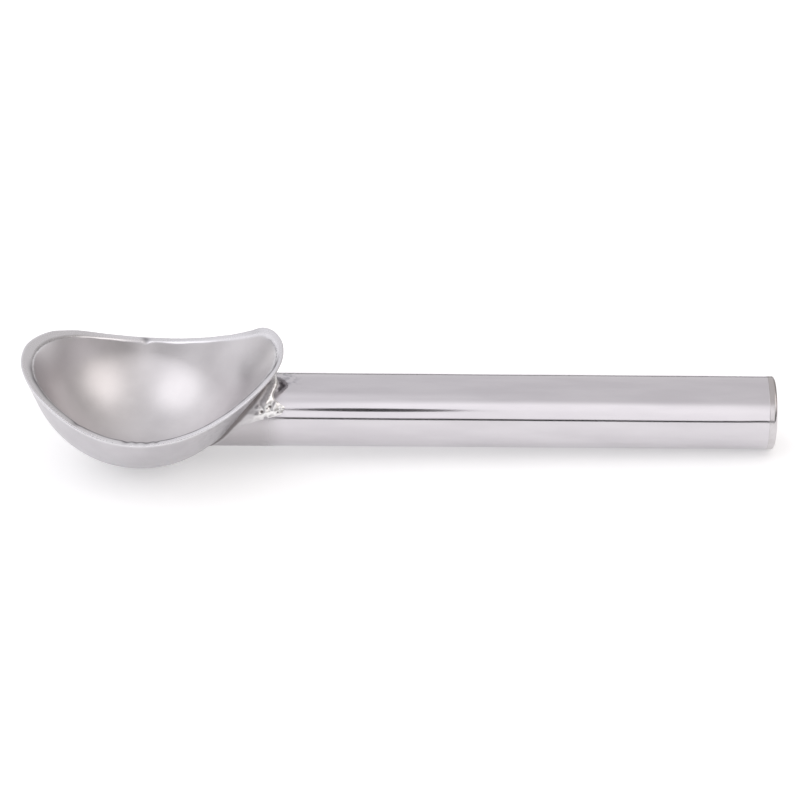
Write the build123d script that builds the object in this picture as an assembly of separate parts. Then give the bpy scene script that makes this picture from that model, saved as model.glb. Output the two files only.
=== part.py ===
from build123d import *
import os
from math import cos, radians, sin, sqrt

# A round-bowled scoop: a pressed aluminium bowl with a saddle-shaped rim, welded to a plain tube handle.
# Millimetres and degrees. +X runs from the bowl's nose to the handle's end and +Z is up. Heights are over
# the bowl's bottom, and lengths along X are from the centre of the bowl's round bottom.

# bowl
bowl_radius = 29.0        # outside of the round bottom
bowl_wall = 2.0
flare_start = 62.3        # angle up from the bowl's pole at which the round turns into a straight flare
bowl_tilt = 8.5           # the mouth leans this much toward the handle
cavity_shift = 0.6        # the cavity sits nearer the handle, which leaves the nose the thicker wall

# rim, as seen from the side: nose line, dip, heel round and heel top
dip_radius = 46.2
dip_height = 18.65        # lowest point of the rim
dip_offset = 2.3          # the dip's middle, along X
nose_rise = 24.0          # slope of the straight stretch up to the nose
heel_height = 30.2
heel_round = 18.6
rim_break = 0.35          # radius that takes the sharpness off the rim's two edges

# handle tube
handle_diameter = 19.05
handle_wall = 1.6
handle_height = 13.15     # height of the tube's axis
handle_end = 159.8        # rear end of the tube

# end cap
cap_flange = 2.0          # thickness of the disc that covers the tube's end
cap_edge = 0.8            # radius round the disc's outer edge
spigot_length = 8.0
spigot_lead = 0.6         # chamfer that guides the spigot in
spigot_clearance = 0.05   # radial, between the spigot and the tube's bore

# weld all round the joint between bowl and tube
weld_leg = 2.8            # its reach along the tube and up the bowl's wall

handle_radius = handle_diameter / 2
bore_radius = handle_radius - handle_wall
blank_reach = 2 * bowl_radius    # flare of the untrimmed bowl, past any rim


def side_view(outline):
    """Face of a closed outline drawn in X and Z, standing on the plane of symmetry."""
    return Plane.XZ * make_face(outline)


def tilted(shape):
    """Place a shape that is turned about its own Z axis as the bowl stands: leaning, on its round bottom."""
    return Pos(0, 0, bowl_radius) * Rot(0, bowl_tilt, 0) * shape


def round_then_flare(radius):
    """Half-section of a round bottom and its tangent flare, and the flare's end point."""
    turn = CenterArc((0, 0), radius, -90, flare_start)
    start = turn @ 1
    end = start + Vector(cos(radians(flare_start)), sin(radians(flare_start))) * blank_reach
    return turn + Line(start, end), end


def filled_bowl(radius):
    """Untrimmed bowl as a filled solid: its outer shape, or its cavity at a smaller radius."""
    wall, end = round_then_flare(radius)
    lid = Polyline(end, (0, end.Y), (0, -radius))
    return tilted(revolve(side_view(wall + lid), Axis.Z))


def above_the_rim():
    """Solid that trims the blank: everything above the rim line, right across the bowl."""
    far = 3 * bowl_radius
    middle = Vector(dip_offset, dip_height + dip_radius)
    reach = dip_radius + heel_round
    rise = middle.Y - heel_height + heel_round
    heel_middle = middle + Vector(sqrt(reach**2 - rise**2), -rise)
    to_heel = (heel_middle - middle).get_angle(Vector(0, -1, 0))

    dip = CenterArc(middle, dip_radius, -90 - nose_rise, nose_rise + to_heel)
    heel = CenterArc(heel_middle, heel_round, 90, to_heel)
    nose_end = dip @ 0 + Vector(-cos(radians(nose_rise)), sin(radians(nose_rise))) * far
    heel_top = heel @ 0
    heel_end = Vector(far, heel_top.Y)
    over = Polyline(heel_end, (far, far + nose_end.Y), (nose_end.X, far + nose_end.Y), nose_end)
    outline = Line(nose_end, dip @ 0) + dip + heel + Line(heel_top, heel_end) + over
    return extrude(side_view(outline), far, both=True)


def bowl():
    """The pressed shell: outer shape less its cavity, trimmed to the rim line, with its edges softened."""
    trim = above_the_rim()
    cavity = Pos(cavity_shift, 0, 0) * filled_bowl(bowl_radius - bowl_wall)
    shell = filled_bowl(bowl_radius) - cavity - trim
    rim_edges = [edge for edge in shell.edges() if trim.distance_to(edge @ 0.5) < 1e-4]
    return fillet(rim_edges, rim_break)


def along_handle(radius, start, length):
    """Cylinder on the handle's axis."""
    place = Pos(start, 0, handle_height) * Rot(0, 90, 0)
    return place * Cylinder(radius, length, align=(Align.CENTER, Align.CENTER, Align.MIN))


def handle_tube():
    """Tube with its front end coped to the bowl's outer wall."""
    outside = along_handle(handle_radius, 0, handle_end)
    bore = along_handle(bore_radius, 0, handle_end)
    return outside - bore - filled_bowl(bowl_radius)


def end_cap():
    """Disc with a rounded edge over the tube's rear end, and the spigot that holds it in the bore."""
    disc = along_handle(handle_radius, handle_end, cap_flange)
    disc = fillet(disc.edges().sort_by(Axis.X)[-1], cap_edge)
    spigot_radius = bore_radius - spigot_clearance
    spigot = along_handle(spigot_radius, handle_end - spigot_length, spigot_length)
    spigot = chamfer(spigot.edges().sort_by(Axis.X)[0], spigot_lead)
    return disc + spigot


def weld_bead():
    """Weld that fills the corner between the bowl's outer wall and the tube, all the way round."""
    rod = along_handle(handle_radius, 0, handle_end)
    body = filled_bowl(bowl_radius)
    corner = [edge for edge in (body + rod).edges() if on_joint(edge)]
    return chamfer(corner, weld_leg) - body - rod


def on_joint(edge):
    """True for an edge of the closed line where the tube's outside meets the bowl."""
    def reach(point):
        return sqrt(point.Y**2 + (point.Z - handle_height) ** 2)

    ends_near = max((edge @ 0).X, (edge @ 1).X) < handle_end / 2
    return ends_near and all(abs(reach(edge @ t) - handle_radius) < 1e-3 for t in (0, 0.5, 1))


def main():
    nodes = {
        "bowl": bowl(),
        "handle_tube": handle_tube(),
        "end_cap": end_cap(),
        "weld_bead": weld_bead(),
    }
    # the origin lies under the middle of the scoop's length, on the surface that the bowl stands on
    nose = nodes["bowl"].bounding_box().min.X
    centred = Pos(-(nose + handle_end + cap_flange) / 2, 0, 0)
    os.makedirs("parts", exist_ok=True)
    for name, shape in nodes.items():
        export_step(centred * shape, f"parts/{name}.step")


main()
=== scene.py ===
from math import cos, radians, sin, tan

import bpy
import numpy as np
from mathutils import Matrix, Vector


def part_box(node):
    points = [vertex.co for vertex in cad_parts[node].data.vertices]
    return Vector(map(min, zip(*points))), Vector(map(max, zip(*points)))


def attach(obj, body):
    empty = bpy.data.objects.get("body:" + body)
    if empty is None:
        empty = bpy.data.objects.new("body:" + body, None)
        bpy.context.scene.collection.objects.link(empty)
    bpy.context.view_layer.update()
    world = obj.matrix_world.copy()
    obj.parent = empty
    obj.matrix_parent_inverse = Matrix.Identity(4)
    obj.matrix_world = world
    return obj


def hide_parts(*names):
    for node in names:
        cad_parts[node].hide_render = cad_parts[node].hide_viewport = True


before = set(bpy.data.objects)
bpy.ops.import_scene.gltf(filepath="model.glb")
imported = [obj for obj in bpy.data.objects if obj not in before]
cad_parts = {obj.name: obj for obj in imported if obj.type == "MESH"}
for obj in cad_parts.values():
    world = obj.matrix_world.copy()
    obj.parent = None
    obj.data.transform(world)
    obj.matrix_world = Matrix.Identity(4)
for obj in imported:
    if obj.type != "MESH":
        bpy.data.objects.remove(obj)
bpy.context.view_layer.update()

# Metres throughout, in the frame of the CAD model: +X along the handle to its end, +Z up. "Along" is the
# distance along X from the centre of the bowl's round bottom, which the pieces are laid out from.

# ---------------------------------------------------------------- camera
# A long lens, level with the middle of the scoop's length and looking down at it from the near side.
# The slight roll is the camera's, which stood a little out of level.
AIM = Vector((0.0002, 0.0, 0.0161))
CAMERA_ELEVATION = radians(30.9)
CAMERA_DISTANCE = 0.769
CAMERA_ROLL = 0.0075

lens = bpy.data.cameras.new("camera")
lens.lens = 135
lens.sensor_width = 36
camera = bpy.data.objects.new("camera", lens)
bpy.context.collection.objects.link(camera)
toward_camera = Vector((0, -cos(CAMERA_ELEVATION), sin(CAMERA_ELEVATION)))
camera.matrix_world = (
    Matrix.Translation(AIM + CAMERA_DISTANCE * toward_camera)
    @ Matrix.Rotation(radians(90) - CAMERA_ELEVATION, 4, "X")
    @ Matrix.Rotation(CAMERA_ROLL, 4, "Z")
)
bpy.context.scene.camera = camera
bpy.context.scene.view_settings.view_transform = "Standard"


# ---------------------------------------------------------------- light
# A light tent: a pale ceiling and back, and a front that is dim but for one tall panel, above a dark slit
# along the table's edge. Three soft boxes stand out of it, and a dark flag takes light off the right rear.
TENT = 0.86
DIM_FRONT = 0.28            # share of the tent's light left, low in front
PANEL = 0.54
PANEL_AZIMUTH = radians(3)
PANEL_HALF_WIDTH = 0.17     # sideways reach over distance
SOFT_BOXES = (        # degrees of azimuth from the front toward +X, of elevation and of breadth, strength
    (-60, 53, 22, 0.80),
    (74, 41, 19, 0.82),
    (-118, 22, 30, 0.25),
    (122, 4, 34, -0.42),
)
SLIT = (0.070, 0.105)       # sines of the elevations between which the dark slit gives way to the light


class Wire:
    """One output of a shader node. Arithmetic on it adds Math nodes."""

    def __init__(self, tree, socket):
        self.tree = tree
        self.socket = socket

    def node(self, kind, inputs, output=0, **settings):
        """An output of a new node. inputs holds numbers, colours or Wires by socket name or place."""
        made = self.tree.nodes.new(kind)
        for key, value in settings.items():
            setattr(made, key, value)
        for key, value in inputs.items():
            if isinstance(value, Wire):
                self.tree.links.new(value.socket, made.inputs[key])
            else:
                made.inputs[key].default_value = value
        return Wire(self.tree, made.outputs[output])

    def math(self, operation, *others):
        return self.node("ShaderNodeMath", dict(enumerate((self, *others))), operation=operation)

    def __add__(self, other):
        return self.math("ADD", other)

    def __sub__(self, other):
        return self.math("SUBTRACT", other)

    def __mul__(self, other):
        return self.math("MULTIPLY", other)

    def __rsub__(self, other):
        return self * -1 + other

    __radd__ = __add__
    __rmul__ = __mul__

    def step(self, low, high):
        """Rises smoothly from 0 at low to 1 at high."""
        ends = {"Value": self, "From Min": low, "From Max": high}
        return self.node("ShaderNodeMapRange", ends, interpolation_type="SMOOTHSTEP")

    def mix(self, low, high):
        """Colour between low, where this is 0, and high, where it is 1."""
        return self.node("ShaderNodeMix", {0: self, 6: low, 7: high}, output=2, data_type="RGBA")

    def split(self):
        return [self.node("ShaderNodeSeparateXYZ", {0: self}, output=place) for place in range(3)]


def compass(azimuth, elevation):
    level = cos(radians(elevation))
    return level * sin(radians(azimuth)), -level * cos(radians(azimuth)), sin(radians(elevation))


world = bpy.data.worlds.new("light_tent")
bpy.context.scene.world = world
world.use_nodes = True
sky = Wire(world.node_tree, world.node_tree.nodes.new("ShaderNodeTexCoord").outputs["Generated"])
sky_x, sky_y, sky_z = sky.split()
in_front = (-1 * sky_y).step(-0.2, 0.5)
low = 1 - sky_z.step(0.30, 0.60)
aside = (sky_x + tan(PANEL_AZIMUTH) * sky_y).math("ABSOLUTE") + PANEL_HALF_WIDTH * sky_y
panel = (1 - aside.step(-0.08, 0.04)) * (1 - sky_z.step(0.72, 0.92))
glow = TENT * (1 - (1 - DIM_FRONT) * in_front * low) + PANEL * panel * (1 + low)
for azimuth, elevation, breadth, strength in SOFT_BOXES:
    toward = {0: sky, 1: compass(azimuth, elevation)}
    facing = sky.node("ShaderNodeVectorMath", toward, output=1, operation="DOT_PRODUCT")
    glow = glow + strength * facing.step(cos(radians(1.6 * breadth)), cos(radians(0.5 * breadth)))
glow = glow * (0.03 + 0.97 * sky_z.step(*SLIT))
world.node_tree.links.new(glow.socket, world.node_tree.nodes["Background"].inputs["Strength"])
tint = sky_x.step(-0.3, 0.9).mix((0.985, 0.975, 1.0, 1), (1.0, 0.955, 0.93, 1))
world.node_tree.links.new(tint.socket, world.node_tree.nodes["Background"].inputs["Color"])


# ---------------------------------------------------------------- camera front
# The dark front of the camera and its stand, just behind the lens. It can't be seen, but the polished
# tube mirrors it as the short dark streak along its upper side.
STREAK_WIDTH = 0.088
STREAK_HEIGHT = 0.15
STREAK_SHIFT = (-0.015, -0.022, 0.02)


def new_object(name, points, faces):
    """Smooth mesh object at the origin, from an array of points and a list of faces."""
    mesh = bpy.data.meshes.new(name)
    mesh.from_pydata(points.tolist(), [], faces)
    mesh.shade_smooth()
    made = bpy.data.objects.new(name, mesh)
    bpy.context.collection.objects.link(made)
    return made


def new_material(piece):
    """A material for the piece: its shader, and its object coordinates as a Wire."""
    material = bpy.data.materials.new(piece.name)
    material.use_nodes = True
    piece.data.materials.append(material)
    nodes = material.node_tree.nodes
    coords = nodes.new("ShaderNodeTexCoord").outputs["Object"]
    return nodes["Principled BSDF"], Wire(material.node_tree, coords)


def feed(shader, **values):
    """Connects a Wire, or sets a plain value, on the shader's sockets; _ in a name stands for a space."""
    for key, value in values.items():
        socket = shader.inputs[key.replace("_", " ")]
        if isinstance(value, Wire):
            value.tree.links.new(value.socket, socket)
        else:
            socket.default_value = value


turn = np.linspace(0, 2 * np.pi, 48, endpoint=False)
oval = np.stack([STREAK_WIDTH / 2 * np.cos(turn), STREAK_HEIGHT / 2 * np.sin(turn), 0 * turn], axis=1)
spot = camera.matrix_world @ Matrix.Translation(STREAK_SHIFT)
oval = oval @ np.array(spot.to_3x3()).T + np.array(spot.translation)
camera_front = new_object("camera_front", oval, [list(range(48))])
shader, coords = new_material(camera_front)
feed(shader, Base_Color=(0.02, 0.02, 0.02, 1), Roughness=0.9)


# ---------------------------------------------------------------- floor
# A matt white table that glows a little, as a lit acrylic sheet does. It is tipped by about a degree: the
# scoop rests on the round of its bowl and the lower edge of its end cap, and the frame has the handle level.
FLOOR_TILT = radians(1.292)
FLOOR_DROP = 0.001474
FLOOR_REACH = 1.6
FLOOR_GLOW = 0.35

line = np.linspace(-FLOOR_REACH, FLOOR_REACH, 9)
flat_y, flat_x = np.meshgrid(line, line, indexing="ij")
flat_z = flat_x * tan(FLOOR_TILT) + FLOOR_DROP


def new_grid(name, points, around=False, along=False, capped=False):
    """Object from rows of points: closed round its columns, closed along its rows, or capped at both ends."""
    rows, columns = points.shape[:2]
    row = np.arange(rows if along else rows - 1)[:, None]
    column = np.arange(columns if around else columns - 1)[None, :]
    next_row = (row + 1) % rows * columns
    next_column = (column + 1) % columns
    row = row * columns
    quads = np.stack([row + column, row + next_column, next_row + next_column, next_row + column], axis=-1)
    faces = quads.reshape(-1, 4).tolist()
    points = points.reshape(-1, 3)
    if capped:
        last = (rows - 1) * columns
        faces += [[rows * columns, (i + 1) % columns, i] for i in range(columns)]
        faces += [[rows * columns + 1, last + i, last + (i + 1) % columns] for i in range(columns)]
        ends = points[:columns].mean(axis=0), points[last:].mean(axis=0)
        points = np.concatenate([points, ends])
    return new_object(name, points, faces)


floor = new_grid("floor", np.stack([flat_x, flat_y, flat_z], axis=-1))
shader, coords = new_material(floor)
feed(
    shader,
    Base_Color=(0.84, 0.84, 0.84, 1),
    Roughness=0.7,
    Emission_Color=(1, 1, 1, 1),
    Emission_Strength=FLOOR_GLOW,
)


# ---------------------------------------------------------------- bowl
# Pressed aluminium bowl, tumbled to an even satin. Its rim is cut to a saddle, deburred by hand, and
# nicked by use. The inside shows faint waves left by the press, and the weld's heat has mottled the
# outside toward the heel. Painted shade darkens the outside, the near rim's inner edge and the nicks,
# and the rim is lighter as a painted highlight.
BOWL_RADIUS = 0.029
BOWL_WALL = 0.002
CAVITY_SHIFT = 0.0006
FLARE_START = radians(62.3)
BOWL_TILT = radians(8.5)
DIP_RADIUS = 0.0462
DIP_HEIGHT = 0.01865
DIP_OFFSET = 0.0023
NOSE_RISE = radians(24.0)
HEEL_ROUND = 0.0186
HEEL_HEIGHT = 0.0302
HANDLE_LENGTH = 0.1618      # from the bowl's centre to the end cap's rear face
INNER_SOFTENING = 0.00062   # how far the rim's deburred edges reach, inside and outside, and how this wanders
OUTER_SOFTENING = 0.00092
SOFTENING_WANDER = 0.00010
INNER_WAVE = 0.000030       # height of the press's waves
OUTER_WAVE = 0.000015
NICK_DEPTH = 0.0004         # depth at which a nick's painted shade is darkest

COLUMNS = 400               # of the bowl's grid, and the rows of each wall, rounded edge and the cut face
WALL_ROWS = 110
EDGE_ROWS = 6
FACE_ROWS = 5

BOWL_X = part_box("end_cap")[1][0] - HANDLE_LENGTH


def on_bowl(around, polar, radius, shift=0.0):
    """Points of a round bottom that turns into a straight flare, tilted and standing on z = 0.

    The distance from the centre is the radius, divided beyond the flare's start by the cosine of the polar
    angle gone past it. The polar angle is measured up from the bowl's pole.
    """
    far = radius / np.cos(np.maximum(polar - FLARE_START, 0))
    side = far * np.sin(polar) * np.cos(around)
    down = far * np.cos(polar)
    x = side * cos(BOWL_TILT) - down * sin(BOWL_TILT) + shift
    z = -side * sin(BOWL_TILT) - down * cos(BOWL_TILT) + BOWL_RADIUS
    return np.stack([x, far * np.sin(polar) * np.sin(around), z], axis=-1)


def rim_height(x):
    """Height of the rim over its place along X: the nose's straight slope, the dip's arc, the heel's arc."""
    middle = DIP_HEIGHT + DIP_RADIUS
    nose_x = DIP_OFFSET - DIP_RADIUS * sin(NOSE_RISE)
    nose = middle - DIP_RADIUS * cos(NOSE_RISE) + (nose_x - x) * tan(NOSE_RISE)
    fall = middle - HEEL_HEIGHT + HEEL_ROUND
    run = np.sqrt((DIP_RADIUS + HEEL_ROUND) ** 2 - fall**2)
    meet_x = DIP_OFFSET + DIP_RADIUS * run / (DIP_RADIUS + HEEL_ROUND)
    dip = middle - np.sqrt(np.maximum(DIP_RADIUS**2 - (x - DIP_OFFSET) ** 2, 0))
    before_top = np.minimum(x - DIP_OFFSET - run, 0)
    heel = HEEL_HEIGHT - HEEL_ROUND + np.sqrt(np.maximum(HEEL_ROUND**2 - before_top**2, 0))
    return np.where(x < nose_x, nose, np.where(x < meet_x, dip, heel))


def rim_polar(around, radius, shift):
    """Polar angle at which the wall meets the rim's height, by halving the interval that holds it."""
    low = np.full_like(around, 0.6)
    high = np.full_like(around, 1.9)
    for _ in range(40):
        polar = (low + high) / 2
        point = on_bowl(around, polar, radius, shift)
        below = point[..., 2] < rim_height(point[..., 0])
        low = np.where(below, polar, low)
        high = np.where(below, high, polar)
    return low


def waves(points, length, count, seed):
    """Smooth unevenness between about -1 and 1: plane waves of about one length, in random directions."""
    random = np.random.default_rng(seed)
    total = 0
    for _ in range(count):
        way = random.normal(size=3)
        way *= 2 * np.pi / (length * random.uniform(0.7, 1.4) * np.linalg.norm(way))
        total = total + np.sin(points @ way + random.uniform(0, 2 * np.pi))
    return total / np.sqrt(count)


def hump(value, middle, half_width):
    """Bell curve of height 1."""
    return np.exp(-(((value - middle) / half_width) ** 2))


def new_shade(piece, name, values):
    """Stores a number from 0 to 1 at each point of the piece's grid, for its material to read."""
    shade = piece.data.attributes.new(name, "FLOAT", "POINT")
    spare = len(piece.data.vertices) - values.size
    shade.data.foreach_set("value", np.append(np.clip(values, 0, 1), np.zeros(spare)))


def read_shade(coords, name):
    return coords.node("ShaderNodeAttribute", {}, output=2, attribute_name=name)


def bend(start, corner, end, count):
    """Points of the curve that leaves start toward the corner and arrives at end from it."""
    t = (np.arange(count) + 0.5)[:, None, None] / count
    return (1 - t) ** 2 * start + 2 * t * (1 - t) * corner + t**2 * end


around = np.linspace(0, 2 * np.pi, COLUMNS, endpoint=False)
inner_top = rim_polar(around, BOWL_RADIUS - BOWL_WALL, CAVITY_SHIFT)
outer_top = rim_polar(around, BOWL_RADIUS, 0.0)
inner_edge = on_bowl(around, inner_top, BOWL_RADIUS - BOWL_WALL, CAVITY_SHIFT)
outer_edge = on_bowl(around, outer_top, BOWL_RADIUS)

NICKS = (             # along, side (-1 near, 1 far), length and depth, in mm
    (-1.8, -1, 0.9, 0.35),
    (0.6, -1, 0.7, 0.28),
    (3.1, -1, 1.1, 0.40),
    (5.4, -1, 0.6, 0.30),
    (-0.9, 1, 1.0, 0.40),
    (-14.0, -1, 0.8, 0.22),
)
nick = np.zeros_like(around)
for along, side, length, depth in NICKS:
    gap = (inner_edge[:, 0] * 1000 - along) / length
    nick += depth / 1000 * np.exp(-(gap**2)) * (np.sign(inner_edge[:, 1]) == side)
soften = INNER_SOFTENING + SOFTENING_WANDER * waves(inner_edge, 0.006, 8, 3)
inner_soften = (soften + 0.8 * nick)[:, None]
outer_soften = (OUTER_SOFTENING + SOFTENING_WANDER * waves(outer_edge, 0.008, 8, 4))[:, None]


def cut_face(share):
    """Points of the rim's cut face, a share of the way from the inner to the outer edge."""
    point = inner_edge + share * (outer_edge - inner_edge)
    point[..., 2] = rim_height(point[..., 0]) - nick * (1 - share[..., 0]) ** 2
    return point


width = np.linalg.norm(outer_edge - inner_edge, axis=1)[:, None]
from_inner = inner_soften / width
from_outer = 1 - outer_soften / width
face = cut_face(from_inner + np.linspace(0, 1, FACE_ROWS)[:, None, None] * (from_outer - from_inner))
climb = np.linspace(0.012, 1, WALL_ROWS)[:, None]
inner_end = inner_top - inner_soften[:, 0] / (BOWL_RADIUS - BOWL_WALL)
outer_end = outer_top - outer_soften[:, 0] / BOWL_RADIUS
inner_wall = on_bowl(around, climb * inner_end, BOWL_RADIUS - BOWL_WALL, CAVITY_SHIFT)
outer_wall = on_bowl(around, climb[::-1] * outer_end, BOWL_RADIUS)
shell = np.concatenate([
    inner_wall,
    bend(inner_wall[-1], cut_face(np.zeros((COLUMNS, 1))), face[0], EDGE_ROWS),
    face,
    bend(face[-1], outer_edge, outer_wall[0], EDGE_ROWS),
    outer_wall,
])

# the press's waves, felt more inside than outside, and none at the rim
facing = shell - np.array([0, 0, BOWL_RADIUS])
facing /= np.linalg.norm(facing, axis=-1, keepdims=True)
inside = (np.arange(len(shell)) < WALL_ROWS)[:, None]
fade = np.clip((rim_height(shell[..., 0]) - shell[..., 2]) / 0.003, 0, 1)
wave = waves(shell, 0.013, 12, 5)
uneven = np.where(inside, INNER_WAVE * wave, OUTER_WAVE * (wave - 2)) * fade
shell = shell + uneven[..., None] * facing + np.array([BOWL_X, 0, 0])
bowl = new_grid("bowl_shell", shell, around=True, capped=True)

# rows counted from the first one past the inner wall
row = np.arange(len(shell))[:, None] - WALL_ROWS
rim_rows = 2 * EDGE_ROWS + FACE_ROWS
on_rim = np.clip((row + 2) / 3, 0, 1) * np.clip((rim_rows + 2 - row) / 4, 0, 1)
# painted shade: the inner edge of the near rim, on the camera's side only, is drawn as a dark line, and the
# nicks are darker the deeper they are
near_side = np.clip(-inner_edge[:, 1] / 0.005, 0, 1)
painted_rim_shade = hump(row, 5.3, 1.7) * near_side * (0.95 + 0.15 * waves(inner_edge, 0.004, 6, 10))
new_shade(bowl, "rim", np.broadcast_to(on_rim, shell.shape[:2]))
new_shade(bowl, "outside", np.broadcast_to(row > rim_rows / 2, shell.shape[:2]))
new_shade(bowl, "painted_rim_shade", painted_rim_shade + 0.8 * nick / NICK_DEPTH * hump(row, EDGE_ROWS, 5))
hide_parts("bowl")
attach(bowl, "root")

shader, coords = new_material(bowl)
x = coords.split()[0]
outside = read_shade(coords, "outside")
grain = coords.node("ShaderNodeTexNoise", {"Vector": coords, "Scale": 2600, "Detail": 3})
cloud = coords.node("ShaderNodeTexNoise", {"Vector": coords, "Scale": 90, "Detail": 4})
inside_metal = cloud.step(0.3, 0.7).mix((0.60, 0.58, 0.59, 1), (0.67, 0.65, 0.66, 1))
# painted shade: the outside is darker than the inside, standing in for the shaded floor it mirrors
shaded_outside_metal = cloud.step(0.3, 0.7).mix((0.51, 0.495, 0.515, 1), (0.58, 0.565, 0.585, 1))
mottle = coords.node("ShaderNodeTexNoise", {"Vector": coords, "Scale": 700, "Detail": 3})
heated = (x - BOWL_X).step(0.010, 0.024) * mottle.step(0.42, 0.66)
shaded_outside_metal = (0.4 * heated).mix(shaded_outside_metal, (0.33, 0.32, 0.34, 1))
rim = read_shade(coords, "rim")
# painted shade along the near rim's inner edge and in the nicks
painted_rim_shade = read_shade(coords, "painted_rim_shade")
# painted highlight: the rim's cut face and rounded edges are lighter; their lower roughness is the buffing
metal = rim.mix(outside.mix(inside_metal, shaded_outside_metal), (0.71, 0.70, 0.72, 1))
feed(
    shader,
    Base_Color=(0.85 * painted_rim_shade).mix(metal, (0.12, 0.11, 0.12, 1)),
    Metallic=1.0,
    Roughness=0.27 + 0.10 * cloud + 0.06 * grain - 0.08 * rim + 0.2 * painted_rim_shade,
    Normal=grain.node("ShaderNodeBump", {"Height": grain, "Distance": 0.00003, "Strength": 0.5}),
)


# ---------------------------------------------------------------- handle tube
# Drawn aluminium tube, polished along its length to a near mirror. It is coped to the bowl's outer wall,
# and near the weld the heat has dulled it and left a pit and some dark marks. Near the bowl its colour is
# painted darker as shade.
HANDLE_RADIUS = 0.009525
HANDLE_WALL = 0.0016
HANDLE_HEIGHT = 0.01315
TUBE_END = 0.1598

SATIN_UNTIL = 0.0300        # the dulled stretch, its colour painted darker as shade, fades out between these, along
POLISH_FROM = 0.0375
SCORCH_UNTIL = 0.0370       # and the dark heat marks on top between these
SCORCH_GONE = 0.0415
PIT_DEPTH = 0.0003
DENT_DEPTH = 0.00003
DRAW_WAVE = 0.000010        # height of the skin's unevenness, which is drawn out lengthwise
PITS = (              # along, degrees above the near side, half-length, half-width in degrees
    (0.0354, 76, 0.0005, 4),
    (0.0361, 70, 0.0007, 5),
    (0.0352, 64, 0.0005, 5),
)


def on_handle(along, angle, radius):
    """Points round the handle's axis. The angle is measured up and over from the side nearest the camera."""
    y = -radius * np.cos(angle)
    z = HANDLE_HEIGHT + radius * np.sin(angle)
    return np.stack(np.broadcast_arrays(BOWL_X + along, y, z), axis=-1)


def cope(angle, radius):
    """Where a cylinder round the handle's axis meets the bowl's outside, along, by halving an interval."""
    low = np.zeros_like(angle)
    high = np.full_like(angle, 2 * BOWL_RADIUS)
    pole = np.array([-sin(BOWL_TILT), 0, -cos(BOWL_TILT)])
    for _ in range(40):
        along = (low + high) / 2
        arm = on_handle(along, angle, radius) - np.array([BOWL_X, 0, BOWL_RADIUS])
        reach = np.linalg.norm(arm, axis=-1)
        polar = np.arccos(arm @ pole / reach)
        outside = reach * np.cos(np.maximum(polar - FLARE_START, 0)) > BOWL_RADIUS
        high = np.where(outside, along, high)
        low = np.where(outside, low, along)
    return high


def turn_from(angle, degrees):
    """Signed angle from a direction round the handle, in degrees between -180 and 180."""
    return (np.degrees(angle) - degrees + 180) % 360 - 180


angle = np.linspace(0, 2 * np.pi, 256, endpoint=False)
start = cope(angle, HANDLE_RADIUS)
bore_start = cope(angle, HANDLE_RADIUS - HANDLE_WALL)
forward = np.append(np.linspace(0, 0.9997, 250), 1)[:, None]
along = start + forward * (TUBE_END - start)
skin = on_handle(along, angle, HANDLE_RADIUS)
pit = sum(hump(along, at, long) * hump(turn_from(angle, degrees), 0, wide) for at, degrees, long, wide in PITS)
dent = hump(along, 0.1576, 0.0030) * hump(turn_from(angle, 12), 0, 16)
rise = DRAW_WAVE * waves(skin * np.array([0.35, 1, 1]), 0.009, 8, 6) - PIT_DEPTH * pit - DENT_DEPTH * dent
skin = on_handle(along, angle, HANDLE_RADIUS + rise)
bore = on_handle(TUBE_END + forward[::25] * (bore_start - TUBE_END), angle, HANDLE_RADIUS - HANDLE_WALL)
tube = new_grid("handle_tube_skin", np.concatenate([skin, bore]), around=True, along=True)
new_shade(tube, "pit", np.concatenate([pit, np.zeros(bore.shape[:2])]))
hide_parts("handle_tube")
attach(tube, "root")

shader, coords = new_material(tube)
x, y, z = coords.split()
dulled_and_shaded = 1 - (x - BOWL_X).step(SATIN_UNTIL, POLISH_FROM)
draw = coords.node("ShaderNodeCombineXYZ", {0: x * 30, 1: y * 4200, 2: z * 4200})
lines = coords.node("ShaderNodeTexNoise", {"Vector": draw, "Scale": 1.0, "Detail": 2})
smear = coords.node("ShaderNodeCombineXYZ", {0: x * 40, 1: y * 220, 2: z * 220})
cloud = coords.node("ShaderNodeTexNoise", {"Vector": smear, "Scale": 1.0, "Detail": 4})
mottle = coords.node("ShaderNodeTexNoise", {"Vector": coords, "Scale": 700, "Detail": 3})
heat = (1 - (x - BOWL_X).step(SCORCH_UNTIL, SCORCH_GONE)) * (z - HANDLE_HEIGHT).step(0.0088, 0.0093)
scorch = 0.55 * heat * mottle.step(0.42, 0.62)
pitted = read_shade(coords, "pit").step(0.15, 0.85)
polished = cloud.step(0.3, 0.7).mix((0.59, 0.57, 0.595, 1), (0.635, 0.615, 0.64, 1))
# painted shade: the tube's colour darkens toward the bowl over the dulled stretch
shaded_near_bowl = dulled_and_shaded.mix(polished, (0.50, 0.48, 0.495, 1))
feed(
    shader,
    Base_Color=pitted.mix(scorch.mix(shaded_near_bowl, (0.30, 0.30, 0.33, 1)), (0.13, 0.12, 0.13, 1)),
    Metallic=1.0,
    Roughness=0.075 + 0.035 * cloud + 0.24 * dulled_and_shaded + 0.2 * scorch + 0.2 * pitted,
    Normal=lines.node("ShaderNodeBump", {"Height": lines, "Distance": 0.000004, "Strength": 0.35}),
)


# ---------------------------------------------------------------- end cap
# Turned aluminium plug pressed into the tube's end. Its flange has a rounded edge and a faced end with
# fine turning marks, and it is a little darker than the polished tube. Its top is painted darker and
# browner as shade.
CAP_FLANGE = 0.002
CAP_EDGE = 0.0008
SPIGOT_LENGTH = 0.008
SPIGOT_LEAD = 0.0006
SPIGOT_CLEARANCE = 0.00005
SEAM = 0.00003              # bevel at the flange's front edge, beside the tube

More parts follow.
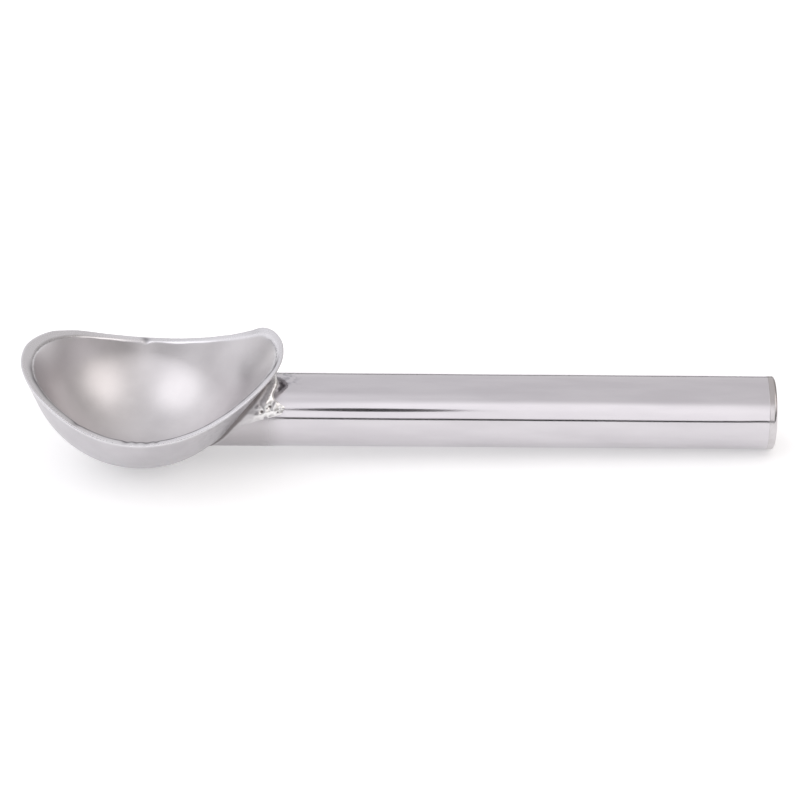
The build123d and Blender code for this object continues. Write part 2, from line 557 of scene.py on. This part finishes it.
spigot_radius = HANDLE_RADIUS - HANDLE_WALL - SPIGOT_CLEARANCE
cap_end = TUBE_END + CAP_FLANGE
quarter = np.linspace(0, np.pi / 2, 12)
edge_along = cap_end - CAP_EDGE + CAP_EDGE * np.sin(quarter)
edge_radius = HANDLE_RADIUS - CAP_EDGE + CAP_EDGE * np.cos(quarter)
profile = np.array([
    (TUBE_END - SPIGOT_LENGTH, 0.001),
    (TUBE_END - SPIGOT_LENGTH, spigot_radius - SPIGOT_LEAD),
    (TUBE_END - SPIGOT_LENGTH + SPIGOT_LEAD, spigot_radius),
    (TUBE_END, spigot_radius),
    (TUBE_END, HANDLE_RADIUS - 2 * SEAM),
    (TUBE_END, HANDLE_RADIUS - SEAM),
    (TUBE_END + SEAM, HANDLE_RADIUS),
    (TUBE_END + 2 * SEAM, HANDLE_RADIUS),
    (cap_end - CAP_EDGE - SEAM, HANDLE_RADIUS),
    *zip(edge_along, edge_radius),
    (cap_end, HANDLE_RADIUS - CAP_EDGE - SEAM),
    (cap_end, 0.006),
    (cap_end, 0.003),
    (cap_end, 0.001),
])
cap = new_grid("end_cap_plug", on_handle(profile[:, :1], angle[::2], profile[:, 1:]), around=True, capped=True)
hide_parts("end_cap")
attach(cap, "root")

shader, coords = new_material(cap)
x, y, z = coords.split()
height = z - HANDLE_HEIGHT
from_axis = (y * y + height * height).math("SQRT")
rings = (from_axis * 26000).math("SINE")
cloud = coords.node("ShaderNodeTexNoise", {"Vector": coords, "Scale": 400, "Detail": 3})
turned = cloud.step(0.3, 0.7).mix((0.55, 0.53, 0.535, 1), (0.61, 0.59, 0.60, 1))
# painted shade: the cap's top is darker and browner
shaded_top = (height + 0.002 * cloud).step(0.0070, 0.0084)
feed(
    shader,
    Base_Color=shaded_top.mix(turned, (0.48, 0.455, 0.45, 1)),
    Metallic=1.0,
    Roughness=0.13 + 0.08 * cloud,
    Normal=rings.node("ShaderNodeBump", {"Height": rings, "Distance": 0.000004, "Strength": 0.5}),
)


# ---------------------------------------------------------------- weld
# Hand-laid weld all round the joint: a hollow fillet with a raised toe on the tube. On the near upper side
# it ran out over the tube and froze in a cluster of bright lumps with dark pits between them. Its colour
# is painted darker along the corner with the bowl, as shade.
WELD_ON_TUBE = 0.0022
WELD_ON_BOWL = 0.0015
RUN_OUT_ANGLE = 27          # degrees above the near side at which the weld ran out over the tube, and how far
RUN_OUT_REACH = 0.0082
BEAD_HEIGHT = 0.00005
RIPPLE_HEIGHT = 0.00002
RIPPLE_PITCH = 0.0015
# degrees above the near side, distance from the corner and height of the raised toe, in mm
TOE_RIDGE = ((-180, 1.6, 0.03), (0, 1.8, 0.03), (18, 4.2, 0.15), (27, 5.2, 0.35), (47, 3.9, 0.55),
             (78, 2.9, 0.60), (95, 2.6, 0.30), (115, 2.0, 0.08), (180, 1.6, 0.03))
# along and degrees above the near side, half-width and height or depth, all but the angle in mm
LUMPS = (
    (29.9, 33, 0.7, 0.30), (30.3, 20, 0.8, 0.34), (31.7, 38, 0.8, 0.36), (32.0, 25, 0.8, 0.42),
    (33.3, 17, 0.8, 0.36), (33.9, 30, 1.0, 0.52), (34.4, 40, 0.8, 0.34), (35.3, 22, 0.8, 0.34),
    (31.0, 12, 0.7, 0.20), (36.0, 33, 0.7, 0.30),
)
WELD_PITS = (
    (32.9, 34.3, 0.45, 0.42), (30.8, 27.0, 0.5, 0.40), (31.8, 16.6, 0.5, 0.34), (34.9, 26.0, 0.3, 0.2),
    (35.6, 72, 0.8, 0.25), (34.9, 62, 0.5, 0.2),
)

angle = np.linspace(0, 2 * np.pi, 480, endpoint=False)
across = np.linspace(0, 1, 90)[:, None]
run_out = hump(turn_from(angle, RUN_OUT_ANGLE), 0, 17)
on_tube = WELD_ON_TUBE + 0.0018 * hump(turn_from(angle, 65), 0, 32) + RUN_OUT_REACH * run_out
on_tube = on_tube + 0.00015 * waves(on_handle(0 * angle, angle, HANDLE_RADIUS), 0.005, 6, 7)
on_wall = WELD_ON_BOWL + 0.00012 * waves(on_handle(0 * angle, angle, HANDLE_RADIUS), 0.004, 6, 8)
corner_along = cope(angle, HANDLE_RADIUS)
toe = np.stack([corner_along + on_tube, 0 * angle + HANDLE_RADIUS - 0.00004])
corner = np.stack([corner_along, 0 * angle + HANDLE_RADIUS])
top = np.stack([cope(angle, HANDLE_RADIUS + on_wall) - 0.00004, HANDLE_RADIUS + on_wall])
corner = corner + 0.12 * (toe + top - 2 * corner)
fillet = ((1 - across) ** 2)[None] * toe[:, None] + (2 * across * (1 - across))[None] * corner[:, None]
fillet = fillet + (across**2)[None] * top[:, None]
along, radius = fillet

ridge_turn, *ridge_mm = zip(*TOE_RIDGE)
ridge_at, ridge_high = (np.interp(turn_from(angle, 0), ridge_turn, mm) / 1000 for mm in ridge_mm)
rise = ridge_high * hump(along - corner_along, ridge_at, 0.00125)
bead = waves(on_handle(along, angle, radius), 0.0022, 10, 9)
ridge = ridge_high / 0.0005 * hump(along - corner_along, ridge_at, 0.0014)
rough = hump(turn_from(angle, 31), 0, 17) * np.clip((along - corner_along - 0.0034) / 0.001, 0, 1)
rise = rise + BEAD_HEIGHT * (0.1 + rough) * bead
rise = rise + RIPPLE_HEIGHT * np.cos(2 * np.pi * (HANDLE_RADIUS * angle / RIPPLE_PITCH + 0.8 * across))
from_corner = np.hypot(along - corner_along, radius - HANDLE_RADIUS)
# painted shade: darker along the fillet's line nearest the corner; the pits are darker too
corner_shade_and_pits = 0.8 * hump(from_corner, from_corner.min(axis=0), 0.0007)


def blob(middle, degrees, size):
    """Bell-shaped spot of height 1 on the weld: e to the minus squared distance over squared size, in mm."""
    around_mm = turn_from(angle, degrees) * radians(1) * HANDLE_RADIUS * 1000
    return np.exp(-((along * 1000 - middle) ** 2 + around_mm**2) / size**2)


for middle, degrees, size, high in LUMPS:
    rise = rise + high / 1000 * blob(middle, degrees, size)
for middle, degrees, size, deep in WELD_PITS:
    corner_shade_and_pits = corner_shade_and_pits + blob(middle, degrees, size)
    rise = rise - deep / 1000 * blob(middle, degrees, size)
surface = on_handle(along, angle, radius)
slope_across = np.gradient(surface, axis=0)
slope_round = np.roll(surface, -1, axis=1) - np.roll(surface, 1, axis=1)
outward = np.cross(slope_across, slope_round)
outward /= np.linalg.norm(outward, axis=-1, keepdims=True)
outward *= np.sign((outward * (surface - on_handle(along, angle, 0 * radius))).sum(axis=-1, keepdims=True))
at_toes = np.clip(across / 0.06, 0, 1) * np.clip((1 - across) / 0.12, 0, 1)
surface = surface + (rise * at_toes)[..., None] * outward
weld = new_grid("weld_bead_run", surface, around=True)
new_shade(weld, "corner_shade_and_pits", corner_shade_and_pits)
new_shade(weld, "rough", np.maximum(rough, ridge))
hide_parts("weld_bead")
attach(weld, "root")

shader, coords = new_material(weld)
dark = read_shade(coords, "corner_shade_and_pits").step(0.2, 0.95)
rough = read_shade(coords, "rough")
grit = coords.node("ShaderNodeTexNoise", {"Vector": coords, "Scale": 1500, "Detail": 4})
bright = grit.step(0.35, 0.6).mix((0.82, 0.81, 0.80, 1), (0.94, 0.93, 0.92, 1))
feed(
    shader,
    Base_Color=dark.mix(rough.mix((0.52, 0.505, 0.52, 1), bright), (0.20, 0.18, 0.18, 1)),
    Metallic=1.0,
    Roughness=0.30 + 0.14 * grit - 0.08 * rough + 0.2 * dark,
    Normal=grit.node("ShaderNodeBump", {"Height": grit * rough, "Distance": 0.00004, "Strength": 0.5}),
)
